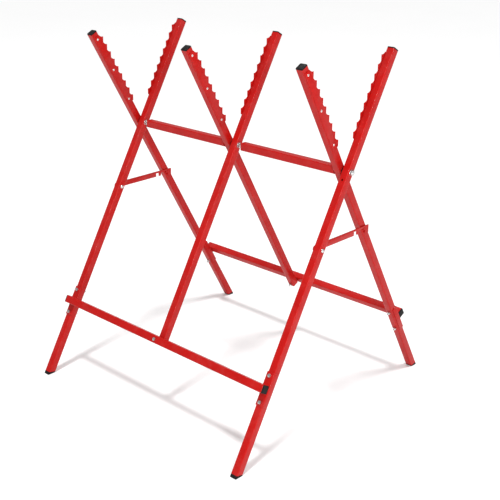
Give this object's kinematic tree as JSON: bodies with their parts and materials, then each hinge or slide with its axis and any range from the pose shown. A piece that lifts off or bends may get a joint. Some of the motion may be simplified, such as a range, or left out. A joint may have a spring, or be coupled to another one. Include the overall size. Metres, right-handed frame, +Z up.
{
  "type": "folding log sawhorse",
  "caption": "Folding steel sawhorse for logs: crossed square-tube legs on a shared fold axis, toothed arms that cradle the log, lower crossbars and locking spreader bars.",
  "frame": {"origin": "on the floor, at the middle of the overall box", "axes": "+Z up, +X along the log and the fold axis towards the end with the short pivot bolt, +Y from the front feet to the rear feet"},
  "size_m": [0.78, 0.7556, 0.9151],
  "materials": {
    "red_powder_coat": "glossy red powder coat",
    "zinc_fasteners": "bright zinc plate",
    "black_plastic": "matt moulded black"
  },
  "bodies": {
    "front_frame": {"front_left_leg": "red_powder_coat", "front_left_arm_cap": "black_plastic", "front_left_toothed_plate": "red_powder_coat", "front_left_foot": "black_plastic", "front_left_saddle": "red_powder_coat", "front_left_saddle_bolt_upper": "zinc_fasteners", "front_left_saddle_bolt_lower": "zinc_fasteners", "front_middle_leg": "red_powder_coat", "front_middle_arm_cap": "black_plastic", "front_middle_toothed_plate": "red_powder_coat", "front_middle_leg_bolt": "zinc_fasteners", "front_right_leg": "red_powder_coat", "front_right_arm_cap": "black_plastic", "front_right_toothed_plate": "red_powder_coat", "front_right_foot": "black_plastic", "front_right_saddle": "red_powder_coat", "front_right_saddle_bolt_upper": "zinc_fasteners", "front_right_saddle_bolt_lower": "zinc_fasteners", "left_spreader_rivet": "zinc_fasteners", "right_spreader_rivet": "zinc_fasteners", "front_crossbar": "red_powder_coat", "front_crossbar_plug_left": "black_plastic", "front_crossbar_plug_right": "black_plastic"},
    "rear_frame": {"rear_left_leg": "red_powder_coat", "rear_left_arm_cap": "black_plastic", "rear_left_toothed_plate": "red_powder_coat", "rear_left_foot": "black_plastic", "rear_left_saddle": "red_powder_coat", "rear_left_saddle_bolt_upper": "zinc_fasteners", "rear_left_saddle_bolt_lower": "zinc_fasteners", "left_pivot_bolt": "zinc_fasteners", "left_pivot_nut": "zinc_fasteners", "left_pivot_spacer": "black_plastic", "rear_middle_leg": "red_powder_coat", "rear_middle_arm_cap": "black_plastic", "rear_middle_toothed_plate": "red_powder_coat", "rear_middle_leg_bolt": "zinc_fasteners", "middle_pivot_bolt": "zinc_fasteners", "middle_pivot_nut": "zinc_fasteners", "middle_pivot_spacer": "black_plastic", "rear_right_leg": "red_powder_coat", "rear_right_arm_cap": "black_plastic", "rear_right_toothed_plate": "red_powder_coat", "rear_right_foot": "black_plastic", "rear_right_saddle": "red_powder_coat", "rear_right_saddle_bolt_upper": "zinc_fasteners", "rear_right_saddle_bolt_lower": "zinc_fasteners", "right_pivot_bolt": "zinc_fasteners", "right_pivot_nut": "zinc_fasteners", "right_pivot_spacer": "black_plastic", "left_catch_stud": "red_powder_coat", "left_rail": "red_powder_coat", "right_catch_stud": "red_powder_coat", "right_rail": "red_powder_coat", "rear_crossbar": "red_powder_coat", "rear_crossbar_plug_left": "black_plastic", "rear_crossbar_plug_right": "black_plastic"},
    "left_spreader": {"left_spreader": "red_powder_coat"},
    "right_spreader": {"right_spreader": "red_powder_coat"}
  },
  "joints": [
    {"name": "fold", "type": "hinge", "parent": "front_frame", "child": "rear_frame", "pos_m": [-0.0012, 0.00862, 0.644], "axis": [-1, 0, 0], "range_deg": [0, 52]},
    {"name": "left_spreader_lift", "type": "hinge", "parent": "front_frame", "child": "left_spreader", "pos_m": [-0.3622, -0.08796, 0.47806], "axis": [1, 0, 0], "range_deg": [0, 52]},
    {"name": "right_spreader_lift", "type": "hinge", "parent": "front_frame", "child": "right_spreader", "pos_m": [0.3598, -0.08796, 0.47806], "axis": [1, 0, 0], "range_deg": [0, 52]}
  ],
  "couplings": [
    {"joint": "left_spreader_lift", "follows": "fold", "ratio": 1},
    {"joint": "right_spreader_lift", "follows": "fold", "ratio": 1}
  ]
}
